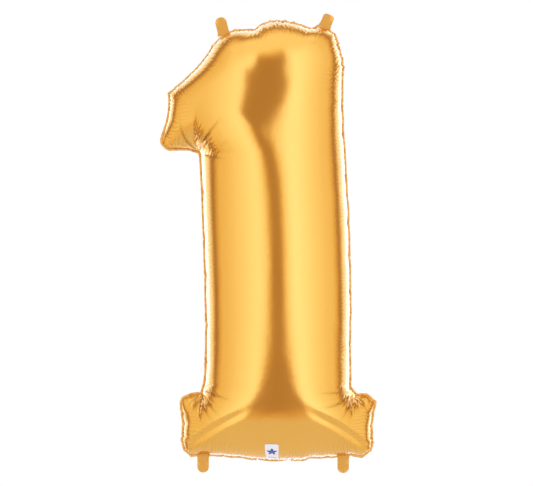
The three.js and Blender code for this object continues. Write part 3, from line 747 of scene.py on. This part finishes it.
# ---------------------------------------------------------------------------------------
# The self-closing valve: two thin clear films in the neck that lie together inside the
# balloon, with a printed strip that kept them apart when the neck was welded.
# ---------------------------------------------------------------------------------------
valve_clear = bpy.data.materials.new("valve_film")
valve_clear.use_nodes = True
tree = valve_clear.node_tree
shader = tree.nodes["Principled BSDF"]
shader.inputs["Base Color"].default_value = (0.78, 0.80, 0.78, 1)
shader.inputs["Coat Weight"].default_value = 0.3
grain = tree.nodes.new("ShaderNodeGroup")
grain.node_tree = film_grain
haze = node(tree, "MapRange", {"Value": grain.outputs["Gloss"], "To Min": 0.25, "To Max": 0.5})
tree.links.new(haze.outputs[0], shader.inputs["Roughness"])
tint = mixed(tree, grain.outputs["Tone"], (0.66, 0.69, 0.67, 1), (0.8, 0.82, 0.8, 1))
tree.links.new(tint, shader.inputs["Base Color"])
bump = node(tree, "Bump", {"Height": grain.outputs["Height"], "Strength": 1.0, "Distance": 1.0})
tree.links.new(bump.outputs[0], shader.inputs["Normal"])

barrier_ink = bpy.data.materials.new("barrier_ink")
barrier_ink.use_nodes = True
tree = barrier_ink.node_tree
shader = tree.nodes["Principled BSDF"]
shader.inputs["Roughness"].default_value = 0.6
place = node(tree, "TexCoord").outputs["Object"]
dots = node(tree, "TexNoise", {"Vector": place, "Scale": 1500.0, "Detail": 2.0})
ink = mixed(tree, dots.outputs[0], (0.14, 0.16, 0.18, 1), (0.26, 0.28, 0.30, 1))
tree.links.new(ink, shader.inputs["Base Color"])
bump = node(tree, "Bump", {"Height": dots.outputs[0], "Strength": 0.3, "Distance": 0.0001})
tree.links.new(bump.outputs[0], shader.inputs["Normal"])
for name in ("valve_tail", "valve_front_film", "valve_rear_film"):
    nodes[name].data.materials.clear()
    nodes[name].data.materials.append(valve_clear)
nodes["valve_barrier_print"].data.materials.clear()
nodes["valve_barrier_print"].data.materials.append(barrier_ink)

# ---------------------------------------------------------------------------------------
# The printed emblem: a small white label with a plain star over a bar, in two inks. It is
# printed on the front sheet above the neck, so it follows the film.
# ---------------------------------------------------------------------------------------
EMBLEM_X, EMBLEM_LOW, EMBLEM_WIDTH, EMBLEM_HEIGHT = -12.0, 35.0, 29.0, 61.0
EMBLEM_LIFT = 0.35
EMBLEM_ROUND = 3.0
sheet_low = flat[:, 1].min()
flat_tree = BVHTree.FromPolygons([(x, z, 0.0) for x, z in flat], tris.tolist())
shape_normal = normals_of(shape, tris)


def on_film(x, z, lift):
    """The place on the blown-up front sheet of a point of the cut sheet."""
    spot = Vector((x, z, 0))
    near, _, face, _ = flat_tree.find_nearest(spot)
    corners = tris[face]
    cut = [Vector((*flat[k], 0)) for k in corners]
    weights = poly_3d_calc(cut, near)
    point = sum((Vector(shape[k]) * w for k, w in zip(corners, weights)), Vector())
    normal = sum((Vector(shape_normal[k]) * w for k, w in zip(corners, weights)), Vector())
    return (point + normal.normalized() * lift) * MM


bm = grid(24, 32)
uv = bm.loops.layers.uv.new("print")
for face in bm.faces:
    for loop in face.loops:
        loop[uv].uv = (loop.vert.co.xy + Vector((1, 1))) / 2
half_x, half_z = EMBLEM_WIDTH / 2, EMBLEM_HEIGHT / 2
for v in bm.verts:
    x, z = v.co.x * half_x, v.co.y * half_z
    cx, cz = half_x - EMBLEM_ROUND, half_z - EMBLEM_ROUND
    dx, dz = max(abs(x) - cx, 0), max(abs(z) - cz, 0)
    reach = math.hypot(dx, dz)
    if reach > EMBLEM_ROUND:
        x = math.copysign(cx + dx * EMBLEM_ROUND / reach, x)
        z = math.copysign(cz + dz * EMBLEM_ROUND / reach, z)
    v.co = on_film(EMBLEM_X + x, sheet_low + EMBLEM_LOW + half_z + z, EMBLEM_LIFT)
emblem_print = bpy.data.materials.new("emblem_print")
emblem_print.use_nodes = True
tree = emblem_print.node_tree
shader = tree.nodes["Principled BSDF"]
shader.inputs["Coat Weight"].default_value = 0.4
uv_node = node(tree, "UVMap", uv_map="print").outputs[0]
parts = node(tree, "SeparateXYZ", {0: uv_node})
across = sum_of(tree, "MULTIPLY", sum_of(tree, "SUBTRACT", parts.outputs[0], 0.5), EMBLEM_WIDTH)
up = sum_of(tree, "MULTIPLY", sum_of(tree, "SUBTRACT", parts.outputs[1], 0.6), EMBLEM_HEIGHT)
angle = sum_of(tree, "ARCTAN2", across, up)
across_squared, up_squared = sum_of(tree, "MULTIPLY", across, across), sum_of(tree, "MULTIPLY", up, up)
reach = sum_of(tree, "SQRT", sum_of(tree, "ADD", across_squared, up_squared), 0.0)
fifth = 2 * math.pi / 5
turn = sum_of(tree, "PINGPONG", angle, fifth / 2)
STAR_TIP, STAR_WAIST = 12.0, 5.4
star_edge = mapped(tree, turn, 0.0, fifth / 2, STAR_TIP, STAR_WAIST)
star = mapped(tree, sum_of(tree, "SUBTRACT", star_edge, reach), -0.25, 0.25)
low_up = sum_of(tree, "MULTIPLY", sum_of(tree, "SUBTRACT", parts.outputs[1], 0.19), EMBLEM_HEIGHT)
bar_up = sum_of(tree, "SUBTRACT", 1.6, sum_of(tree, "ABSOLUTE", low_up, 0.0))
bar_out = sum_of(tree, "SUBTRACT", 9.0, sum_of(tree, "ABSOLUTE", across, 0.0))
bar = mapped(tree, sum_of(tree, "MINIMUM", bar_up, bar_out), -0.2, 0.2)
rosette = node(tree, "TexNoise", {"Vector": uv_node, "Scale": 220.0, "Detail": 2.0})
paper = mixed(tree, rosette.outputs[0], (0.80, 0.78, 0.76, 1), (0.92, 0.90, 0.90, 1))
with_star = mixed(tree, star, paper, (0.03, 0.05, 0.32, 1))
with_bar = mixed(tree, bar, with_star, (0.75, 0.03, 0.22, 1))
tree.links.new(with_bar, shader.inputs["Base Color"])
matt = node(tree, "MapRange", {"Value": rosette.outputs[0], "To Min": 0.35, "To Max": 0.5})
tree.links.new(matt.outputs[0], shader.inputs["Roughness"])
bump = node(tree, "Bump", {"Height": rosette.outputs[0], "Strength": 0.2, "Distance": 0.00005})
tree.links.new(bump.outputs[0], shader.inputs["Normal"])
emblem = finished(bm, "emblem_label", emblem_print, "emblem_print", "printed_emblem")
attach(emblem, "envelope")

# ---------------------------------------------------------------------------------------
# The stage: a pale round floor well below the balloon, two weak soft lights behind it, and a
# room that lights it from all round. The room is not evenly bright: it is shaped by direction so
# that the gold shows a dark gap in front, a dark ring near its edge and a bright roll outside it.
# ---------------------------------------------------------------------------------------
FLOOR_DROP, FLOOR_RADIUS = 1.5, 2.2
centre = (cad_low + cad_high) / 2
bm = bmesh.new()
bmesh.ops.create_circle(bm, cap_ends=True, segments=96, radius=FLOOR_RADIUS)
bmesh.ops.translate(bm, verts=bm.verts, vec=(centre.x, 0, cad_low.z - FLOOR_DROP))
floor_mesh = bpy.data.meshes.new("floor")
bm.to_mesh(floor_mesh)
bm.free()
floor = bpy.data.objects.new("floor", floor_mesh)
bpy.context.scene.collection.objects.link(floor)
floor_paint = bpy.data.materials.new("floor_paint")
floor_paint.use_nodes = True
tree = floor_paint.node_tree
shader = tree.nodes["Principled BSDF"]
mottle = node(tree, "TexNoise", {"Vector": node(tree, "TexCoord").outputs["Object"], "Scale": 2.0})
pale = mixed(tree, mottle.outputs[0], (0.76, 0.76, 0.75, 1), (0.82, 0.82, 0.81, 1))
tree.links.new(pale, shader.inputs["Base Color"])
shader.inputs["Roughness"].default_value = 0.7
floor_mesh.materials.append(floor_paint)


def soft_light(name, place, aim, width, height, power):
    lamp = bpy.data.lights.new(name, "AREA")
    lamp.shape = "RECTANGLE"
    lamp.size, lamp.size_y, lamp.energy = width, height, power
    holder = bpy.data.objects.new(name, lamp)
    bpy.context.scene.collection.objects.link(holder)
    holder.location = place
    holder.rotation_euler = (Vector(aim) - Vector(place)).to_track_quat("-Z", "Y").to_euler()


panel_centre = sum(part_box("front_panel"), Vector()) / 2
middle = (0, 0, panel_centre.z)
soft_light("left_rim_light", (-1.4, 2.6, centre.z + 0.1), middle, 1.2, 2.4, 8)
soft_light("right_rim_light", (1.4, 2.6, centre.z + 0.1), middle, 1.2, 2.4, 8)

room = bpy.data.worlds.new("room")
bpy.context.scene.world = room
room.use_nodes = True
tree = room.node_tree
background = tree.nodes["Background"]
direction = node(tree, "SeparateXYZ", {0: node(tree, "TexCoord").outputs["Generated"]})
toward_x, toward_y, toward_z = direction.outputs
side = sum_of(tree, "ABSOLUTE", toward_x, 0.0)
round_about = sum_of(tree, "ARCTAN2", side, sum_of(tree, "MULTIPLY", toward_y, -1.0))
around = node(tree, "MapRange", {"Value": round_about, "From Max": math.pi})
# How bright the room is from straight in front (0) to straight behind (1).
PANELS = ((0.0, 0.38), (0.035, 0.40), (0.075, 1.10), (0.11, 1.52), (0.16, 1.66), (0.25, 1.50), (0.34, 1.30),
          (0.42, 1.14), (0.50, 1.02), (1.0, 1.0))
RING = ((0.0, 1.0), (0.54, 1.0), (0.60, 0.62), (0.635, 0.26), (0.665, 0.34), (0.72, 1.35), (0.80, 1.7),
        (1.0, 1.9))
BRIGHTEST = 2.0


def stepped(position, steps, scale):
    """A value that follows those steps of (place from 0 to 1, level)."""
    ramp_node = node(tree, "ValToRGB", {"Fac": position})
    while len(ramp_node.color_ramp.elements) < len(steps):
        ramp_node.color_ramp.elements.new(0.5)
    for element, (place, level) in zip(ramp_node.color_ramp.elements, steps):
        element.position = place
        colour = level if isinstance(level, tuple) else (level,) * 3
        element.color = tuple(c / scale for c in colour) + (1,)
    return ramp_node.outputs[0]


def soft_step(value, low, high, at_low, at_high):
    """A smooth change from one level to another."""
    limits = {"Value": value, "From Min": low, "From Max": high, "To Min": at_low, "To Max": at_high}
    return node(tree, "MapRange", limits, interpolation_type="SMOOTHSTEP").outputs[0]


level = sum_of(tree, "MULTIPLY", stepped(around.outputs[0], PANELS, BRIGHTEST), BRIGHTEST)
level = sum_of(tree, "MULTIPLY", level, soft_step(toward_x, -0.3, 0.3, 0.93, 1.0))
# The dark gap in front widens above and below the camera, up to the overhead light.
height = sum_of(tree, "ARCSINE", toward_z, 0.0)
gap_above = soft_step(height, 0.15, 0.56, 0.12, 0.40)
gap_below = soft_step(height, -0.15, -0.5, 0.12, 0.50)
gap_half = sum_of(tree, "MAXIMUM", gap_above, gap_below)
gap = soft_step(sum_of(tree, "SUBTRACT", round_about, gap_half), -0.09, 0.09, 1.0, 0.0)
level = node(tree, "Mix", {"Factor": gap, 2: level, 3: 0.36}).outputs[0]
level = node(tree, "Mix", {"Factor": soft_step(height, 0.85, 1.25, 0.0, 1.0), 2: level, 3: 1.25}).outputs[0]
level = node(tree, "Mix", {"Factor": soft_step(height, -0.46, -0.66, 0.0, 0.8), 2: level, 3: 0.76}).outputs[0]
# Level with the balloon's own edge there is a dark ring, and behind it the room is brightest.
off_axis = sum_of(tree, "ARCCOSINE", sum_of(tree, "MULTIPLY", toward_y, -1.0), 0.0)
beyond = node(tree, "MapRange", {"Value": off_axis, "From Max": math.pi})
ring = sum_of(tree, "MULTIPLY", stepped(beyond.outputs[0], RING, BRIGHTEST), BRIGHTEST)
level = sum_of(tree, "MULTIPLY", level, ring)
# Dim parts of the room are warm and bright parts cool.
ROOM_COLOURS = ((0.0, (0.05, 0.035, 0.02)), (0.20, (0.56, 0.40, 0.26)), (0.33, (0.86, 0.66, 0.38)),
                (0.47, (0.99, 0.94, 0.74)), (0.56, (1.07, 1.12, 1.10)), (0.70, (1.28, 1.39, 1.60)),
                (0.80, (1.40, 1.60, 2.15)), (0.92, (1.65, 1.83, 2.60)), (1.0, (1.85, 2.00, 2.9)))
HIGHEST = 5.0
share = sum_of(tree, "DIVIDE", level, BRIGHTEST)
paint = stepped(share, ROOM_COLOURS, HIGHEST)
seen = node(tree, "LightPath").outputs["Is Camera Ray"]
shown = node(tree, "Mix", {"Factor": seen, 2: HIGHEST, 3: 1.0})
paint = node(tree, "Mix", {"Factor": seen, 6: paint, 7: (1, 1, 1, 1)}, data_type="RGBA")
tree.links.new(shown.outputs[0], background.inputs["Strength"])
tree.links.new(paint.outputs[2], background.inputs["Color"])

VIEW_DISTANCE, VIEW_WIDTH = 3.2, 1.066
camera_data = bpy.data.cameras.new("camera")
camera_data.sensor_width = 36
camera_data.lens = camera_data.sensor_width * VIEW_DISTANCE / VIEW_WIDTH
camera = bpy.data.objects.new("camera", camera_data)
bpy.context.scene.collection.objects.link(camera)
camera.location = (panel_centre.x - 0.0035, -VIEW_DISTANCE, panel_centre.z - 0.0049)
camera.rotation_euler = (math.pi / 2, 0, 0)
bpy.context.scene.camera = camera
bpy.context.scene.view_settings.view_transform = "Standard"
